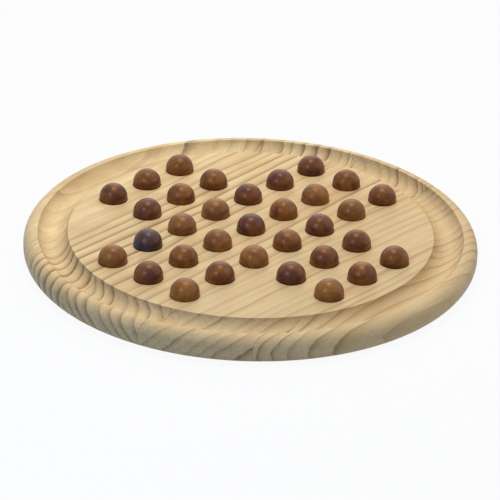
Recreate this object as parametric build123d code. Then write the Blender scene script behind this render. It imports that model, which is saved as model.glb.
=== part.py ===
from build123d import *
from math import hypot, sqrt
import os

# A round solitaire board, turned from an edge-glued pine panel, with its 33 loose
# wooden balls. Millimetres. The underside rests on Z = 0 and the board turns about
# the Z axis. The rows of dimples, the glue lines and the grain run along X.

# The cross of dimples
hole_pitch = 32.2
holes_out = 3        # dimples from the middle one to the end of an arm
rows_beside = 1      # rows on each side of the middle one that an arm has

# Balls, and how they sit: the centre stays above the playing face, so that a ball
# lifts straight out of a dimple that never closes over it
ball_diameter = 19.0
ball_rise = 1.7
seat_clearance = 0.25

# Groove for captured balls: a round cutter a little larger than a ball
groove_slack = 0.9
groove_rise = 3.5    # centre of the round section, above the playing face
edge_land = 9.65     # flat wood between the outermost dimples and the groove

# Wood under the dimples, and the rim's shape
floor_under_dimple = 9.65
rim_rise = 0.3       # top of the rim, above the playing face
rim_crest = 1.5      # flat crest between the groove and the rounded edge
edge_band = 2.0      # straight band between the upper and the lower round

# Staves of the glued panel
stave_width = 64.0
stave_shift = -6.5   # Y of the middle stave's centre line


def ball_radius():
    return ball_diameter / 2


def dimple_radius():
    return ball_radius() + seat_clearance


def face_height():
    """Height of the playing face over the underside."""
    return floor_under_dimple + dimple_radius() - ball_rise


def board_thickness():
    return face_height() + rim_rise


def dimple_mouth():
    """Radius of a dimple where it meets the playing face."""
    return sqrt(dimple_radius() ** 2 - ball_rise ** 2)


def groove_radius():
    return ball_radius() + groove_slack


def groove_half_width(above_face):
    """Half the groove's width, at a height over the playing face."""
    return sqrt(groove_radius() ** 2 - (groove_rise - above_face) ** 2)


def face_radius():
    """Radius of the playing face, which has to hold the outermost dimples."""
    outermost = hypot(holes_out, rows_beside) * hole_pitch
    return outermost + dimple_mouth() + edge_land


def groove_path_radius():
    return face_radius() + groove_half_width(0)


def lip_radius():
    """Where the groove's outer wall meets the crest of the rim."""
    return groove_path_radius() + groove_half_width(rim_rise)


def edge_round():
    return (board_thickness() - edge_band) / 2


def board_radius():
    return lip_radius() + rim_crest + edge_round()


def cross():
    """Column and row of every dimple, counted from the middle one."""
    places = range(-holes_out, holes_out + 1)
    return [(i, j) for i in places for j in places if min(abs(i), abs(j)) <= rows_beside]


def ball_name(i, j):
    """Letters run along X and figures along Y, as on a printed solitaire diagram."""
    return f"ball_{chr(ord('a') + i + holes_out)}{j + holes_out + 1}"


def ball_centre(i, j):
    return Vector(i * hole_pitch, j * hole_pitch, face_height() + ball_rise)


def rim_section():
    """Half section of the turned board, from its axis out to the rounded edge."""
    top = board_thickness()
    face = face_height()
    corner = board_radius() - edge_round()
    groove_bottom = (groove_path_radius(), face + groove_rise - groove_radius())
    line = [
        Line((0, 0), (corner, 0)),
        CenterArc((corner, edge_round()), edge_round(), -90, 90),
        Line((board_radius(), edge_round()), (board_radius(), top - edge_round())),
        CenterArc((corner, top - edge_round()), edge_round(), 0, 90),
        Line((corner, top), (lip_radius(), top)),
        ThreePointArc((lip_radius(), top), groove_bottom, (face_radius(), face)),
        Line((face_radius(), face), (0, face)),
        Line((0, face), (0, 0)),
    ]
    return make_face(Wire(line))


def turned_board():
    """The board as turned, with its dimples sunk into the playing face."""
    profile = Plane.XZ * rim_section()
    board = revolve(profile, Axis.Z)
    dimples = [Pos(ball_centre(i, j)) * Sphere(dimple_radius()) for i, j in cross()]
    return board - dimples


def glue_lines():
    """Y of the glue lines that cross the board, from -Y to +Y."""
    reach = int(2 * board_radius() / stave_width) + 2
    lines = [stave_shift + (k + 0.5) * stave_width for k in range(-reach, reach)]
    return [y for y in lines if abs(y) < board_radius()]


def staves(board):
    """The board's staves, cut from it along the glue lines."""
    ends = [-board_radius()] + glue_lines() + [board_radius()]
    for low, high in zip(ends, ends[1:]):
        slab = Box(2 * board_radius(), high - low, board_thickness(),
                   align=(Align.CENTER, Align.MIN, Align.MIN))
        yield board & Pos(0, low, 0) * slab


def ball():
    """A turned ball, seated on its own centre."""
    return Sphere(ball_radius())


def write_parts():
    os.makedirs("parts", exist_ok=True)
    for number, stave in enumerate(staves(turned_board()), start=1):
        export_step(stave, f"parts/stave_{number}.step")
    for i, j in cross():
        export_step(Pos(ball_centre(i, j)) * ball(), f"parts/{ball_name(i, j)}.step")


write_parts()
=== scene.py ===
import math
import bpy
from mathutils import Matrix, Vector


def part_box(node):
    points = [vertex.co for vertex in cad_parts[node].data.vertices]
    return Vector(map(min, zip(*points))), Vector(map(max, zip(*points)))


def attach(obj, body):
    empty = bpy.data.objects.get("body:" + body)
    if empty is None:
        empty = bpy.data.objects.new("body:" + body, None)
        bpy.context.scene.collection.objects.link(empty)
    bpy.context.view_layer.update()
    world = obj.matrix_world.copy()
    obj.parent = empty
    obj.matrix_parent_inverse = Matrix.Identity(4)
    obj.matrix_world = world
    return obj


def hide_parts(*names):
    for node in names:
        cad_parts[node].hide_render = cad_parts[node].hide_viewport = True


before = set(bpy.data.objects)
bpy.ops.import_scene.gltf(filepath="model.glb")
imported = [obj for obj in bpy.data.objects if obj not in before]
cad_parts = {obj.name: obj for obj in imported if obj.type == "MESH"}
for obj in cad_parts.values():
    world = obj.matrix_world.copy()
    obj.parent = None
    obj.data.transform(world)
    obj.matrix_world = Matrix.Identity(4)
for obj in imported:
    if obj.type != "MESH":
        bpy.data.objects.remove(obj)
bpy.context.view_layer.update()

# The board is a panel of radiata pine, edge-glued from five staves and then turned: a flat
# playing face, a round groove for captured balls, and a rim rounded over above and below.
# A ball-nosed bit sinks a cross of dimples, and sandpaper takes off the sharp corners.
mm = 0.001
ball_low, ball_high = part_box("ball_d4")
ball_radius = (ball_high.z - ball_low.z) / 2
ball_rise = 1.7 * mm              # a ball's centre, above the playing face
face_height = (ball_low.z + ball_high.z) / 2 - ball_rise
board_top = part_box("stave_3")[1].z
hole_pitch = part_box("ball_e4")[0].x - ball_low.x
holes_out = 3                     # dimples from the middle one to the end of an arm
rows_beside = 1                   # rows on each side of the middle one that an arm has
seat_clearance = 0.25 * mm
groove_slack = 0.9 * mm
groove_rise = 3.5 * mm            # centre of the groove's section, above the playing face
edge_land = 9.65 * mm             # flat wood between the outermost dimples and the groove
rim_crest = 1.5 * mm
edge_round = 8.0 * mm
face_arris = 0.3 * mm             # sanded corner between the playing face and the groove
rim_arris = 0.6 * mm              # the same between the groove and the crest of the rim
mouth_arris = 0.35 * mm           # the same round the mouth of a dimple

dimple_radius = ball_radius + seat_clearance
dimple_mouth = math.sqrt(dimple_radius ** 2 - ball_rise ** 2)
face_radius = math.hypot(holes_out, rows_beside) * hole_pitch + dimple_mouth + edge_land
groove_radius = ball_radius + groove_slack
groove_path = face_radius + math.sqrt(groove_radius ** 2 - groove_rise ** 2)
rise_over_rim = face_height + groove_rise - board_top
rim_lip = groove_path + math.sqrt(groove_radius ** 2 - rise_over_rim ** 2)
edge_centre = rim_lip + rim_crest


def arc(centre, radius, start, end, steps):
    """Points of an arc in a section, each as distance from the axis and height.
    Its angles are in degrees, and 0 points outwards."""
    angles = [math.radians(start + (end - start) * k / steps) for k in range(steps + 1)]
    return [(centre[0] + radius * math.cos(a), centre[1] + radius * math.sin(a)) for a in angles]


def arris(cutter_radius, cutter_rise, corner_radius):
    """How far the centre of a sanded corner lies from the axis of the round cut beside it,
    and the angle at which the two touch."""
    depth = cutter_rise + corner_radius
    out = math.sqrt((cutter_radius + corner_radius) ** 2 - depth ** 2)
    return out, math.degrees(math.atan2(depth, out))


# The section that the board is turned to runs from the playing face through the groove and
# over the rim to the flat underside. [1:] drops a point that the arc before has given.
arris_steps, groove_steps, lip_steps, edge_steps = 5, 36, 6, 18
inner_out, inner_turn = arris(groove_radius, groove_rise, face_arris)
outer_out, outer_turn = arris(groove_radius, rise_over_rim, rim_arris)
board_section = (
    arc((groove_path - inner_out, face_height - face_arris), face_arris, 90, inner_turn, arris_steps)
    + arc((groove_path, face_height + groove_rise), groove_radius,
          180 + inner_turn, 360 - outer_turn, groove_steps)[1:]
    + arc((groove_path + outer_out, board_top - rim_arris), rim_arris,
          180 - outer_turn, 90, lip_steps)[1:]
    + arc((edge_centre, board_top - edge_round), edge_round, 90, 0, edge_steps)
    + arc((edge_centre, edge_round), edge_round, 0, -90, edge_steps)
)

# The bit for the dimples is a little larger than a ball and runs in to a little under its
# middle. Its shoulder leaves the sanded corner at the mouth, and its last two points close
# it above the playing face.
bit_steps = 16
shoulder_end = 96                 # degrees: it stops just short of lying in the playing face
mouth_out, mouth_turn = arris(dimple_radius, ball_rise, mouth_arris)
bit_section = (
    arc((0, ball_rise), dimple_radius, -90, -mouth_turn, bit_steps)
    + arc((mouth_out, -mouth_arris), mouth_arris, 180 - mouth_turn, shoulder_end, arris_steps)[1:]
)
bit_section += [(bit_section[-1][0], ball_rise), (0, ball_rise)]
bit_section.reverse()


def in_scene(name, data):
    """An object for a mesh, curve, light or camera, put into the scene."""
    item = bpy.data.objects.new(name, data)
    bpy.context.scene.collection.objects.link(item)
    return item


def template(name, points):
    """A section as a curve for the lathe: X is the distance from the axis and Y the depth."""
    curve = bpy.data.curves.new(name, "CURVE")
    curve.dimensions = "3D"
    spline = curve.splines.new("POLY")
    spline.points.add(len(points) - 1)
    for point, (out, height) in zip(spline.points, points):
        point.co = (out, -height, 0, 1)
    return in_scene(name, curve)


def add(tree, kind, inputs, **settings):
    """Adds a node with its settings and fills its inputs, in order from a list or by name from a dict.
    An input takes a value, an output socket, or a node, which stands for its first output.
    An input that joins several takes them as a list."""
    node = tree.nodes.new(kind)
    for name, value in settings.items():
        setattr(node, name, value)
    sockets = [s for s in node.inputs if s.enabled]
    if isinstance(inputs, dict):
        inputs = {s: inputs[s.name] for s in sockets if s.name in inputs}
    else:
        inputs = dict(zip(sockets, inputs))
    for socket, given_value in inputs.items():
        for value in given_value if socket.is_multi_input else [given_value]:
            if isinstance(value, bpy.types.Node):
                value = next(s for s in value.outputs if s.enabled)
            if isinstance(value, bpy.types.NodeSocket):
                tree.links.new(value, socket)
            else:
                socket.default_value = value
    return node


def geometry_tree(name, inputs):
    """An empty Geometry Nodes tree, and the sockets that hand out its named inputs."""
    tree = bpy.data.node_groups.new(name, "GeometryNodeTree")
    for label, kind in inputs.items():
        tree.interface.new_socket(label, in_out="INPUT", socket_type=f"NodeSocket{kind}")
    tree.interface.new_socket("Geometry", in_out="OUTPUT", socket_type="NodeSocketGeometry")
    return tree, add(tree, "NodeGroupInput", []).outputs


def run_tree(tree, name, values):
    """Runs a tree once with these values for its inputs, and gives its result as an object
    with a plain mesh, at the origin."""
    worker = in_scene(name, bpy.data.meshes.new(name))
    modifier = worker.modifiers.new("tree", "NODES")
    modifier.node_group = tree
    for socket in tree.interface.items_tree:
        if socket.in_out == "INPUT":
            modifier[socket.identifier] = values[socket.name]
    made = worker.evaluated_get(bpy.context.evaluated_depsgraph_get())
    mesh = bpy.data.meshes.new_from_object(made)
    bpy.data.objects.remove(worker)
    mesh.name = name
    return in_scene(name, mesh)


# The lathe sweeps a template once round the Z axis. The template rides on a round rail and
# is set in by the rail's own radius, so that it turns about the axis itself.
rail_radius = 100 * mm
same_point = 0.001 * mm           # points nearer than this become one
lathe, given = geometry_tree("lathe", {"Template": "Geometry", "Facets": "Int", "Rail": "Float"})
rail = add(lathe, "GeometryNodeCurvePrimitiveCircle", [given["Facets"], given["Rail"]])
level = add(lathe, "GeometryNodeSetCurveNormal", [rail], mode="Z_UP")
inwards = add(lathe, "ShaderNodeMath", [given["Rail"], -1], operation="MULTIPLY")
shift = add(lathe, "ShaderNodeCombineXYZ", [inwards])
seated = add(lathe, "GeometryNodeTransform", {"Geometry": given["Template"], "Translation": shift})
swept = add(lathe, "GeometryNodeCurveToMesh", [level, seated])
closed = add(lathe, "GeometryNodeMergeByDistance", {"Geometry": swept, "Distance": same_point})
smooth = add(lathe, "GeometryNodeSetShadeSmooth", [closed, True, True])
add(lathe, "NodeGroupOutput", [smooth])


def lathe_work(tree, section, facets):
    """A template turned by the lathe, inside another tree."""
    shape = add(tree, "GeometryNodeObjectInfo", [section])
    work = {"Template": shape.outputs["Geometry"], "Facets": facets, "Rail": rail_radius}
    return add(tree, "GeometryNodeGroup", work, node_tree=lathe)


# Each stave is made by itself. The whole board is turned first, and its playing face and
# its underside are closed with flat discs.
stave_tree, given = geometry_tree("turned_stave", {
    "Board Section": "Object", "Bit Section": "Object", "Board Facets": "Int", "Bit Facets": "Int",
    "Face Radius": "Float", "Face Height": "Float", "Foot Radius": "Float", "Waste": "Float",
    "Pitch": "Float", "Holes Out": "Int", "Arm Reach": "Float",
    "Saw Low": "Float", "Saw High": "Float", "Material": "Material"})
turned = lathe_work(stave_tree, given["Board Section"], given["Board Facets"])
face_disc = add(stave_tree, "GeometryNodeMeshCircle", [given["Board Facets"], given["Face Radius"]],
                fill_type="NGON")
face_up = add(stave_tree, "ShaderNodeCombineXYZ", {"Z": given["Face Height"]})
face_cap = add(stave_tree, "GeometryNodeTransform", {"Geometry": face_disc, "Translation": face_up})
foot_disc = add(stave_tree, "GeometryNodeMeshCircle", [given["Board Facets"], given["Foot Radius"]],
                fill_type="NGON")
foot_cap = add(stave_tree, "GeometryNodeFlipFaces", [foot_disc])
caps = add(stave_tree, "GeometryNodeJoinGeometry", [[face_cap, foot_cap]])
flat_caps = add(stave_tree, "GeometryNodeSetShadeSmooth", [caps, True, False])
shell = add(stave_tree, "GeometryNodeJoinGeometry", [[flat_caps, turned]])
board = add(stave_tree, "GeometryNodeMergeByDistance", {"Geometry": shell, "Distance": same_point})

# The stave's two saw cuts: a block of waste beyond each of its glue lines is taken off.
wide = {axis: given["Waste"] for axis in "XYZ"}
block = add(stave_tree, "GeometryNodeMeshCube", [add(stave_tree, "ShaderNodeCombineXYZ", wide)])
flat_block = add(stave_tree, "GeometryNodeSetShadeSmooth", [block, True, False])
waste_blocks = []
for saw, side in (("Saw Low", -0.5), ("Saw High", 0.5)):
    middle = add(stave_tree, "ShaderNodeMath", [given["Waste"], side, given[saw]],
                 operation="MULTIPLY_ADD")
    beside = add(stave_tree, "ShaderNodeCombineXYZ", {"Y": middle})
    waste_blocks.append(add(stave_tree, "GeometryNodeTransform",
                            {"Geometry": flat_block, "Translation": beside}))
waste = add(stave_tree, "GeometryNodeJoinGeometry", [waste_blocks])
sawn = add(stave_tree, "GeometryNodeMeshBoolean", {"Mesh 1": board, "Mesh 2": [waste]},
           operation="DIFFERENCE", solver="EXACT")

# The cross of dimples: a square grid of places without its four corners, and the bit sunk
# into the playing face at each of them.
rows = add(stave_tree, "ShaderNodeMath", [given["Holes Out"], 2, 1], operation="MULTIPLY_ADD")
gaps = add(stave_tree, "ShaderNodeMath", [rows, 1], operation="SUBTRACT")
cross_width = add(stave_tree, "ShaderNodeMath", [gaps, given["Pitch"]], operation="MULTIPLY")
holes = add(stave_tree, "GeometryNodeMeshGrid", [cross_width, cross_width, rows, rows])
hole_x, hole_y, _ = add(stave_tree, "ShaderNodeSeparateXYZ",
                        [add(stave_tree, "GeometryNodeInputPosition", [])]).outputs
off_x = add(stave_tree, "ShaderNodeMath", [hole_x], operation="ABSOLUTE")
off_y = add(stave_tree, "ShaderNodeMath", [hole_y], operation="ABSOLUTE")
nearer = add(stave_tree, "ShaderNodeMath", [off_x, off_y], operation="MINIMUM")
corner = add(stave_tree, "FunctionNodeCompare", [nearer, given["Arm Reach"]], operation="GREATER_THAN")
cross = add(stave_tree, "GeometryNodeDeleteGeometry", [holes, corner])
at_face = add(stave_tree, "GeometryNodeTransform", {"Geometry": cross, "Translation": face_up})
bit = lathe_work(stave_tree, given["Bit Section"], given["Bit Facets"])
bits = add(stave_tree, "GeometryNodeInstanceOnPoints", {"Points": at_face, "Instance": bit})
cut = add(stave_tree, "GeometryNodeRealizeInstances", [bits])
drilled = add(stave_tree, "GeometryNodeMeshBoolean", {"Mesh 1": sawn, "Mesh 2": [cut]},
              operation="DIFFERENCE", solver="EXACT")
real = add(stave_tree, "GeometryNodeRealizeInstances", [drilled])
finished = add(stave_tree, "GeometryNodeSetMaterial", {"Geometry": real, "Material": given["Material"]})
add(stave_tree, "NodeGroupOutput", [finished])


def linear(colour):
    """A shader colour from an sRGB hex value."""
    channels = [int(colour[k:k + 2], 16) / 255 for k in (1, 3, 5)]
    return [*(c / 12.92 if c <= 0.04045 else ((c + 0.055) / 1.055) ** 2.4 for c in channels), 1]


def blank_material(name):
    """A material and its node tree, still empty."""
    material = bpy.data.materials.new(name)
    material.use_nodes = True
    material.node_tree.nodes.clear()
    return material, material.node_tree


def figure(tree, at, length, width, detail, roughness):
    """Noise in cells of this length along the grain and this width across it, in mm."""
    cells = add(tree, "ShaderNodeVectorMath", [at, (1 / length, 1 / width, 1 / width)],
                operation="MULTIPLY")
    return add(tree, "ShaderNodeTexNoise", [cells, 1, detail, roughness])


# Radiata pine, sawn along the log, turned, sanded fine and given a thin satin varnish. The
# eye sees cream wood in which each year's growth darkens to a tan line with a sharp outer
# edge. The lines run along the face, and turn to arcs and loops where the groove and the
# rim cut across them. End grain is greyer there, with wider rings and speckled by cut cells.
warm_cream, late_tan, end_grey, glue_brown = "#dabc88", "#8a632f", "#958b76", "#8a6436"
year_edge = 0.9                   # mm from a year's darkest wood to the pale start of the next
plain_wood, plain_dark = 8, 0.2   # mm drawn beyond the first and last ring, and how dark it is
middle_reach = 70                 # mm each side of X = 0 over which a ring's darkness changes
late_power = (3.6, 2.5)           # how late in its year the wood darkens, on flat and end grain
late_depth = (1.3, 2.4)           # how much it darkens, on flat and on end grain
late_height = 0.5                 # how far it stands proud, beside the fibres' own relief
relief_depth = 0.05 * mm
end_greying = 0.45                # how far end grain goes over to its grey
glue_width = 0.3                  # mm of glue that show on each side of a joint
glue_shows = 0.4                  # how far they go over to the colour of the glue

# Figures of the wood: their length and width in mm, detail and roughness. Real fibres and cut
# cells are under a tenth of a millimetre wide, and are drawn as coarse as they need to show.
slow_waver, slow_sway = (83.33, 33.33, 1, 0.5), 2.0      # and by how many mm the rings sway
quick_waver, quick_sway = (33.33, 5.0, 1, 0.5), 0.7
fibres = (45.45, 0.909, 3, 0.6)
bands = (125.0, 4.545, 2, 0.6)
blotches = (50.0, 20.0, 2, 0.6)
cut_cells = (3.333, 1.4286, 2, 0.6)

# What they do: a low and a high value of the figure, and what the wood gets at the two.
waver_range = (0.2, 0.8)
late_by_fibre, late_by_band = (0.3, 0.7, 0.8, 1.2), (0.35, 0.65, 0.8, 1.2)
tone_by_fibre, tone_by_band = (0.25, 0.75, 0.86, 1.1), (0.3, 0.7, 0.95, 1.04)
warmth_by_blotch = (0.35, 0.65, 0, 0.9)
speck_by_cell = (0.3, 0.7, -0.25, 0.25)
roughness_by_fibre = (0, 1, 0.5, 0.66)


def pine(name, cream, rings, pith, lean, rise, bend, joints):
    """A ring is (mm across the playing face at X = 0, how dark it is at the -X end, and at
    the +X end). The pith lies at (mm across, mm above the playing face). lean and rise are
    its slopes along the stave, and bend is its bow. joints are the stave's two glue lines."""
    material, tree = blank_material(name)

    # A point of the wood, in mm, with its height counted from the playing face.
    place = add(tree, "ShaderNodeTexCoord", [])
    at = add(tree, "ShaderNodeVectorMath",
             [place.outputs["Object"], (1 / mm,) * 3, (0, 0, -face_height / mm)],
             operation="MULTIPLY_ADD")
    along, aside, above = add(tree, "ShaderNodeSeparateXYZ", [at]).outputs

    # Where a point lies in the log: how far from its pith, with a slow and a quick waver.
    bow = add(tree, "ShaderNodeMath", [along, along], operation="MULTIPLY")
    across = add(tree, "ShaderNodeMath", [along, -lean, aside], operation="MULTIPLY_ADD")
    across = add(tree, "ShaderNodeMath", [bow, -bend, across], operation="MULTIPLY_ADD")
    for waver, sway in ((slow_waver, slow_sway), (quick_waver, quick_sway)):
        swaying = add(tree, "ShaderNodeMapRange",
                      [figure(tree, at, *waver), *waver_range, -sway, sway])
        across = add(tree, "ShaderNodeMath", [across, swaying], operation="ADD")
    across = add(tree, "ShaderNodeMath", [across, pith[0]], operation="SUBTRACT")
    up = add(tree, "ShaderNodeMath", [along, -rise, above], operation="MULTIPLY_ADD")
    up = add(tree, "ShaderNodeMath", [up, pith[1]], operation="SUBTRACT")
    spoke = add(tree, "ShaderNodeCombineXYZ", [across, up, 0])
    radius = add(tree, "ShaderNodeVectorMath", [spoke], operation="LENGTH").outputs["Value"]

    # The rings from the pith outwards. Red and green hold how dark the year is at each end,
    # and blue climbs through the year from 0 to 1.
    spans = sorted((math.hypot(spot - pith[0], pith[1]), *darks) for spot, *darks in rings)
    first, last = spans[0][0] - plain_wood, spans[-1][0] + plain_wood
    ladder = add(tree, "ShaderNodeValToRGB", [add(tree, "ShaderNodeMapRange", [radius, first, last])])
    stops = ladder.color_ramp.elements
    for stop in stops:
        stop.color = (plain_dark, plain_dark, 0, 1)
    for number, (span, left, right) in enumerate(spans):
        _, *after = spans[min(number + 1, len(spans) - 1)]
        for offset, colour in ((0, (left, right, 1, 1)), (year_edge, (*after, 0, 1))):
            stops.new((span + offset - first) / (last - first)).color = colour
    left_dark, right_dark, year = add(tree, "ShaderNodeSeparateColor", [ladder]).outputs
    side = add(tree, "ShaderNodeMapRange", [along, -middle_reach, middle_reach],
               interpolation_type="SMOOTHSTEP")
    dark = add(tree, "ShaderNodeMix", [side, left_dark, right_dark], data_type="FLOAT")

    # Late wood, stronger and weaker from one fibre and one band to the next. The grain runs
    # along X, so a surface shows the more end grain the more it faces that way.
    facing = add(tree, "ShaderNodeSeparateXYZ", [place.outputs["Normal"]]).outputs["X"]
    end_on = add(tree, "ShaderNodeMath", [facing, 2], operation="POWER")
    fibre = figure(tree, at, *fibres)
    band = figure(tree, at, *bands)
    power = add(tree, "ShaderNodeMapRange", [end_on, 0, 1, *late_power])
    late = add(tree, "ShaderNodeMath", [year, power], operation="POWER")
    for share in (dark,
                  add(tree, "ShaderNodeMapRange", [fibre, *late_by_fibre]),
                  add(tree, "ShaderNodeMapRange", [band, *late_by_band]),
                  add(tree, "ShaderNodeMapRange", [end_on, 0, 1, *late_depth])):
        late = add(tree, "ShaderNodeMath", [late, share], operation="MULTIPLY")
    late = add(tree, "ShaderNodeClamp", [late])

    # The colour: cream with warmer blotches, the late wood, then streaks along the fibres,
    # with the speckle of the cut cells added on end grain.
    warmth = add(tree, "ShaderNodeMapRange", [figure(tree, at, *blotches), *warmth_by_blotch])
    early = add(tree, "ShaderNodeMix", [warmth, linear(cream), linear(warm_cream)], data_type="RGBA")
    wood = add(tree, "ShaderNodeMix", [late, early, linear(late_tan)], data_type="RGBA")
    fine = add(tree, "ShaderNodeMapRange", [fibre, *tone_by_fibre])
    broad = add(tree, "ShaderNodeMapRange", [band, *tone_by_band])
    streaks = add(tree, "ShaderNodeMath", [fine, broad], operation="MULTIPLY")
    speck = add(tree, "ShaderNodeMapRange", [figure(tree, at, *cut_cells), *speck_by_cell])
    speckled = add(tree, "ShaderNodeMath", [speck, end_on, streaks], operation="MULTIPLY_ADD")
    fibrous = add(tree, "ShaderNodeVectorMath", [wood, speckled], operation="MULTIPLY")

    # End grain drinks more varnish and turns greyer, and the glue shows as a hairline.
    soaked = add(tree, "ShaderNodeMath", [end_on, end_greying], operation="MULTIPLY")
    ended = add(tree, "ShaderNodeMix", [soaked, fibrous, linear(end_grey)], data_type="RGBA")
    middle, half = (joints[1] + joints[0]) / 2 / mm, (joints[1] - joints[0]) / 2 / mm
    off_middle = add(tree, "ShaderNodeMath", [aside, middle], operation="SUBTRACT")
    off_middle = add(tree, "ShaderNodeMath", [off_middle], operation="ABSOLUTE")
    glue = add(tree, "ShaderNodeMapRange", [off_middle, half - glue_width, half, 0, glue_shows])
    jointed = add(tree, "ShaderNodeMix", [glue, ended, linear(glue_brown)], data_type="RGBA")

    # The hard late wood and the fibres stand slightly proud, and roughen the varnish.
    relief = add(tree, "ShaderNodeMath", [late, late_height, fibre], operation="MULTIPLY_ADD")
    bump = add(tree, "ShaderNodeBump", {"Strength": 0.3, "Distance": relief_depth, "Height": relief})
    roughness = add(tree, "ShaderNodeMapRange", [fibre, *roughness_by_fibre])
    shader = add(tree, "ShaderNodeBsdfPrincipled", {
        "Base Color": jointed, "Roughness": roughness, "Normal": bump,
        "IOR": 1.5, "Specular IOR Level": 0.35})
    add(tree, "ShaderNodeOutputMaterial", {"Surface": shader})
    return material


# The five staves, from -Y to +Y, and how the year rings of each lie.
staves = {
    "stave_1": dict(cream="#dec596", pith=(-512, -97), lean=-0.009, rise=-0.01, bend=1.34e-4, rings=[
        (-149, .3, .1), (-136.6, .5, .2), (-128.4, .45, .25), (-120.7, .35, .4),
        (-114.5, .5, .35), (-108.9, .5, .3), (-100, .4, .3)]),
    "stave_2": dict(cream="#dec596", pith=(-375, -263), lean=-0.0335, rise=0, bend=0.71e-4, rings=[
        (-111.5, .6, .3), (-99.1, .35, .4), (-92, .25, .2), (-85.5, .25, .05), (-79, .04, .04),
        (-72.2, .45, .35), (-66, .05, .25), (-59.8, .3, .25), (-52, .06, .25),
        (-46.2, .25, .25), (-37.2, .3, .4)]),
    "stave_3": dict(cream="#e6cb99", pith=(401, -444), lean=0.028, rise=-0.02, bend=0.21e-4, rings=[
        (-41.4, .4, .4), (-35.7, .3, .5), (-25.5, .4, .2), (-16, .5, .7), (-7.2, .4, .2),
        (0.9, .3, .2), (13.5, .6, .2), (24, .6, .7), (33, .45, .2), (42, .4, .4)]),
    "stave_4": dict(cream="#efd5a1", pith=(225, -56), lean=0.03, rise=0.02, bend=1.31e-4, rings=[
        (22, .4, .4), (25.1, .3, .35), (31.8, .75, .2), (40.7, .7, .7), (49.4, .95, .7),
        (58.5, .75, .6), (66.4, .7, .4), (73.2, .4, .45), (85.1, .2, .45), (93, .1, .4)]),
    "stave_5": dict(cream="#f4dba8", pith=(-165, 61), lean=0.016, rise=-0.025, bend=2.83e-4, rings=[
        (86, .16, .2), (93, .06, .3), (101, .1, .2), (108.2, .12, .1), (120.3, .1, .7),
        (132.9, .25, .2), (146, .3, .3)]),
}
board_template = template("board_template", board_section)
bit_template = template("bit_template", bit_section)
board_facets, bit_facets = 384, 72  # sides of 2.5 mm on the rim and 0.9 mm in a dimple
past_the_rim = 200 * mm
glue_lines = [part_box(name)[1].y for name in list(staves)[:-1]]
saw_cuts = [-past_the_rim, *glue_lines, past_the_rim]
for (name, wood), saw_low, saw_high in zip(staves.items(), saw_cuts, saw_cuts[1:]):
    stave = run_tree(stave_tree, f"turned_{name}", {
        "Board Section": board_template, "Bit Section": bit_template,
        "Board Facets": board_facets, "Bit Facets": bit_facets,
        "Face Radius": board_section[0][0], "Face Height": face_height, "Foot Radius": edge_centre,
        "Waste": 2 * past_the_rim, "Pitch": hole_pitch, "Holes Out": holes_out,
        "Arm Reach": (rows_beside + 0.5) * hole_pitch, "Saw Low": saw_low, "Saw High": saw_high,
        "Material": pine(f"pine_{name}", joints=(saw_low, saw_high), **wood)})
    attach(stave, "board")
    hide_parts(name)
for used in (board_template, bit_template):
    bpy.data.objects.remove(used)

# The balls are turned from rosewood of four tones, tumbled smooth and dipped in a satin
# lacquer. The tumbling leaves them very slightly uneven. Each lies loose in its dimple, with
# its grain another way.
ball_subdivisions = 5             # which makes facets with sides of about 0.7 mm
worn_patches = 150.0              # to a metre, so that one is about 7 mm across
worn_depth = 0.10 * mm            # the most that the tumbling takes off
ball_tree, given = geometry_tree("turned_ball", {
    "Radius": "Float", "Subdivisions": "Int", "Worn Patches": "Float", "Worn Depth": "Float",
    "Centre": "Vector", "Grain Turn": "Vector", "Seed": "Float", "Material": "Material"})
sphere = add(ball_tree, "GeometryNodeMeshIcoSphere", [given["Radius"], given["Subdivisions"]])
where = add(ball_tree, "GeometryNodeInputPosition", [])
offset = add(ball_tree, "ShaderNodeCombineXYZ", {"X": given["Seed"]})
own_patch = add(ball_tree, "ShaderNodeVectorMath", [where, given["Worn Patches"], offset],
                operation="MULTIPLY_ADD")
lumps = add(ball_tree, "ShaderNodeTexNoise", {"Vector": own_patch, "Scale": 1, "Detail": 1})
inwards = add(ball_tree, "ShaderNodeMath", [given["Worn Depth"], -1], operation="MULTIPLY")
worn = add(ball_tree, "ShaderNodeMath", [lumps, inwards], operation="MULTIPLY")
outwards = add(ball_tree, "ShaderNodeVectorMath", [where], operation="NORMALIZE")
worn_off = add(ball_tree, "ShaderNodeVectorMath", {"Vector": outwards, "Scale": worn}, operation="SCALE")
rounded = add(ball_tree, "GeometryNodeSetPosition", {"Geometry": sphere, "Offset": worn_off})
to_grain = add(ball_tree, "FunctionNodeEulerToRotation", [given["Grain Turn"]])
grain = add(ball_tree, "FunctionNodeRotateVector", [where, to_grain])
grain_mm = add(ball_tree, "ShaderNodeVectorMath", [grain, (1 / mm,) * 3, offset],
               operation="MULTIPLY_ADD")
marked = add(ball_tree, "GeometryNodeStoreNamedAttribute",
             {"Geometry": rounded, "Name": "grain", "Value": grain_mm}, data_type="FLOAT_VECTOR")
seated = add(ball_tree, "GeometryNodeTransform", {"Geometry": marked, "Translation": given["Centre"]})
smooth = add(ball_tree, "GeometryNodeSetShadeSmooth", [seated, True, True])
real = add(ball_tree, "GeometryNodeRealizeInstances", [smooth])
finished = add(ball_tree, "GeometryNodeSetMaterial", {"Geometry": real, "Material": given["Material"]})
add(ball_tree, "NodeGroupOutput", [finished])

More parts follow.
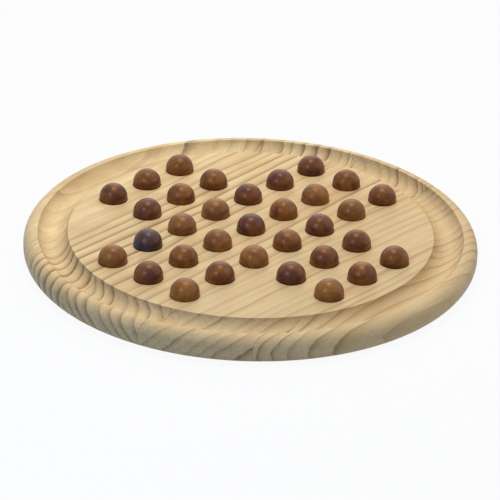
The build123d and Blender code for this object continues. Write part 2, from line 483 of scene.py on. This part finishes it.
# Rosewood, turned, tumbled smooth and dipped in satin lacquer. Under a thin clear coat with
# a soft highlight the eye sees narrow dark rings, clouds of another colour in the heartwood,
# and short dark pores. Its own gloss beneath the coat is amber.
amber = "#ffb66c"
ring_spacing = 2.618              # mm
unit_wave = math.pi / 10          # length of a wave texture's wave at a scale of 1
ring_dark = 0.6
pore_along, pore_across = 2.857, 0.3846  # mm from one pore to the next
pore_edge = (0.08, 0.2, 0.55, 1)  # its inner and outer edge, its tone, and that of the wood
fibre_relief = 0.03 * mm

# Its figures, as for the pine: length and width in mm, detail and roughness. Single fibres
# are too fine to show, so bundles of them are drawn.
clouds, cloud_edge = (14.29, 9.09, 2, 0.5), (0.36, 0.64)
ball_fibres, ball_roughness = (8.333, 0.625, 3, 0.5), (0, 1, 0.4, 0.55)


def rosewood(name, light, dark, cloud):
    """The wood of some of the balls: its own colour, that of its rings, and that of its clouds."""
    material, tree = blank_material(name)
    at = add(tree, "ShaderNodeAttribute", [], attribute_name="grain").outputs["Vector"]
    clouded = add(tree, "ShaderNodeMapRange", [figure(tree, at, *clouds), *cloud_edge],
                  interpolation_type="SMOOTHSTEP")
    body = add(tree, "ShaderNodeMix", [clouded, linear(light), linear(cloud)], data_type="RGBA")
    rings = add(tree, "ShaderNodeTexWave", {
        "Vector": at, "Scale": unit_wave / ring_spacing,
        "Distortion": 2.5, "Detail": 2, "Detail Scale": 0.6},
        wave_type="BANDS", bands_direction="Y", wave_profile="SAW")
    fibre = figure(tree, at, *ball_fibres)
    ringed = add(tree, "ShaderNodeMath", [rings, fibre], operation="MULTIPLY")
    ringed = add(tree, "ShaderNodeMath", [ringed, ring_dark], operation="MULTIPLY")
    wood = add(tree, "ShaderNodeMix", [ringed, body, linear(dark)], data_type="RGBA")
    pore_cells = add(tree, "ShaderNodeVectorMath",
                     [at, (1 / pore_along, 1 / pore_across, 1 / pore_across)], operation="MULTIPLY")
    pores = add(tree, "ShaderNodeTexVoronoi", {"Vector": pore_cells, "Scale": 1})
    pore = add(tree, "ShaderNodeMapRange", [pores, *pore_edge])
    pored = add(tree, "ShaderNodeVectorMath", [wood, pore], operation="MULTIPLY")
    bump = add(tree, "ShaderNodeBump", {"Strength": 0.25, "Distance": fibre_relief, "Height": fibre})
    roughness = add(tree, "ShaderNodeMapRange", [fibre, *ball_roughness])
    shader = add(tree, "ShaderNodeBsdfPrincipled", {
        "Base Color": pored, "Roughness": roughness, "Normal": bump,
        "Specular IOR Level": 0.45, "Specular Tint": linear(amber),
        "Coat Weight": 0.22, "Coat Roughness": 0.17})
    add(tree, "ShaderNodeOutputMaterial", {"Surface": shader})
    return material


# Four tones of the wood and the cells that have them. A ball whose cell isn't named is brown.
tones = {
    "brown": (rosewood("rosewood_brown", "#885424", "#40200c", "#582c18"), ""),
    "golden": (rosewood("rosewood_golden", "#96642e", "#503014", "#724828"),
               "a3 a5 c1 c3 c4 c5 d5 f3 f4"),
    "plum": (rosewood("rosewood_plum", "#72401e", "#30140e", "#422020"),
             "a4 c2 c6 c7 d4 e3 e5 f5 g5"),
    "blue": (rosewood("rosewood_blue", "#382024", "#1a0e16", "#16304a"), "b5"),
}
first_turn = (0, 0.4, 0)          # radians by which the first ball's grain is turned
turn_steps = (2.4, 1.1, 3.5)      # and by how much more from each ball to the next
seed_step = 17.0                  # mm of grain, and cells of unevenness, between two balls
balls = sorted(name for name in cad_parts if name.startswith("ball_"))
for number, name in enumerate(balls):
    cell = name.split("_")[1]
    tone = next((t for t, (_, cells) in tones.items() if cell in cells.split()), "brown")
    low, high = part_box(name)
    turn = [start + number * step for start, step in zip(first_turn, turn_steps)]
    ball = run_tree(ball_tree, f"lacquered_{name}", {
        "Radius": ball_radius, "Subdivisions": ball_subdivisions, "Worn Patches": worn_patches,
        "Worn Depth": worn_depth, "Centre": (low + high) / 2, "Grain Turn": Vector(turn),
        "Seed": seed_step * number, "Material": tones[tone][0]})
    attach(ball, name)
    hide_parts(name)

# The board stands on a plain sheet of white paper. The light that the paper throws back
# brightens the rounded edge of the board from below, and the camera sees it white, with
# the board's soft shadow.
floor_reach = 4.0
floor_drop = 0.02 * mm            # keeps the paper just clear of the board's underside
sheet_corners = [(x * floor_reach, y * floor_reach, -floor_drop)
                 for x, y in ((-1, -1), (1, -1), (1, 1), (-1, 1))]
floor_mesh = bpy.data.meshes.new("floor")
floor_mesh.from_pydata(sheet_corners, [], [(0, 1, 2, 3)])
floor = in_scene("floor", floor_mesh)


def seen_by_eye(tree):
    """1 for a ray from the camera, straight, by a reflection or through glass, and else 0."""
    ray = add(tree, "ShaderNodeLightPath", []).outputs
    seen = add(tree, "ShaderNodeMath", [ray["Is Camera Ray"], ray["Is Glossy Ray"]],
               operation="MAXIMUM")
    return add(tree, "ShaderNodeMath", [seen, ray["Is Transmission Ray"]], operation="MAXIMUM")


# White paper, pressed smooth and left without a gloss, so that the eye sees an even white
# with no highlight in it. Only a small share of the white comes from the lamps and shades.
paper_white = 0.93                # the share that no shadow darkens
paper, tree = blank_material("white_paper")
lit_paper = add(tree, "ShaderNodeBsdfDiffuse", [linear("#dae6f8")])
plain_white = add(tree, "ShaderNodeEmission", [linear("#ffffff"), 1.0])
seen_paper = add(tree, "ShaderNodeMixShader", [paper_white, lit_paper, plain_white])
sheet = add(tree, "ShaderNodeMixShader", [seen_by_eye(tree), lit_paper, seen_paper])
add(tree, "ShaderNodeOutputMaterial", {"Surface": sheet})
floor_mesh.materials.append(paper)

# The camera stands at the photograph's place: off the -X -Y side, above the board and far
# back with a long lens, so that the board shows little perspective.
azimuth, elevation, roll = (math.radians(a) for a in (-48.17, 27.27, 1.665))
camera_distance = 1.725
aim_right, aim_up = -0.24 * mm, -13.35 * mm
back = Vector((math.sin(azimuth) * math.cos(elevation),
               -math.cos(azimuth) * math.cos(elevation), math.sin(elevation)))
level_right = Vector((math.cos(azimuth), math.sin(azimuth), 0))
level_up = back.cross(level_right)
right = level_right * math.cos(roll) + level_up * math.sin(roll)
up = level_up * math.cos(roll) - level_right * math.sin(roll)
lens = bpy.data.cameras.new("camera")
lens.lens, lens.sensor_width = 187.65, 36.0
camera = in_scene("camera", lens)
aim = Vector((0, 0, face_height)) + level_right * aim_right + level_up * aim_up
eye = aim + back * camera_distance
camera.matrix_world = Matrix.Translation(eye) @ Matrix((right, up, back)).transposed().to_4x4()
bpy.context.scene.camera = camera

# Five softboxes. Large ones over the board and behind it give the pale wood its sheen and
# leave the near walls of the groove in shade, and one hangs at the right. The small cool one
# beside the camera is the soft spot that the lacquered balls show.
# Each is where it hangs, its width in metres, its power in watts and its colour.
behind = Vector((-math.sin(azimuth), math.cos(azimuth), 0))
softboxes = {
    "overhead": (behind * 0.15 + Vector((0, 0, 1.14)), 0.5, 6.5, "#fff3e6"),
    "behind": (behind * 0.8 + Vector((0, 0, 0.85)), 1.1, 4.0, "#fff9f9"),
    "low_behind": (behind * 1.1 + Vector((0, 0, 0.5)), 0.6, 1.2, "#ffeec0"),
    "right": (level_right * 0.9 + Vector((0, 0, 0.7)), 1.0, 2.8, "#f8f9ff"),
    "front_left": (level_right * -0.478 + level_up * 0.287 + back * 0.832, 0.36, 3.3, "#c8e0ff"),
}
for name, (spot, width, power, colour) in softboxes.items():
    light = bpy.data.lights.new(name, "AREA")
    light.shape, light.size, light.energy = "SQUARE", width, power
    light.color = linear(colour)[:3]
    softbox = in_scene(name, light)
    facing_board = spot.to_track_quat("Z", "Y").to_matrix().to_4x4()
    softbox.matrix_world = Matrix.Translation(spot) @ facing_board

# The studio round the board is white wherever the eye sees it, also in a reflection or
# through glass. As a light it is nearly dark, so that the softboxes alone shape the board.
studio_fill = 0.03
world = bpy.data.worlds.new("studio")
bpy.context.scene.world = world
world.use_nodes = True
tree = world.node_tree
tree.nodes.clear()
dim = add(tree, "ShaderNodeBackground", [linear("#f4f4ff"), studio_fill])
white = add(tree, "ShaderNodeBackground", [linear("#ffffff"), 1.0])
sky = add(tree, "ShaderNodeMixShader", [seen_by_eye(tree), dim, white])
add(tree, "ShaderNodeOutputWorld", {"Surface": sky})
bpy.context.scene.view_settings.view_transform = "Standard"

bpy.context.view_layer.update()
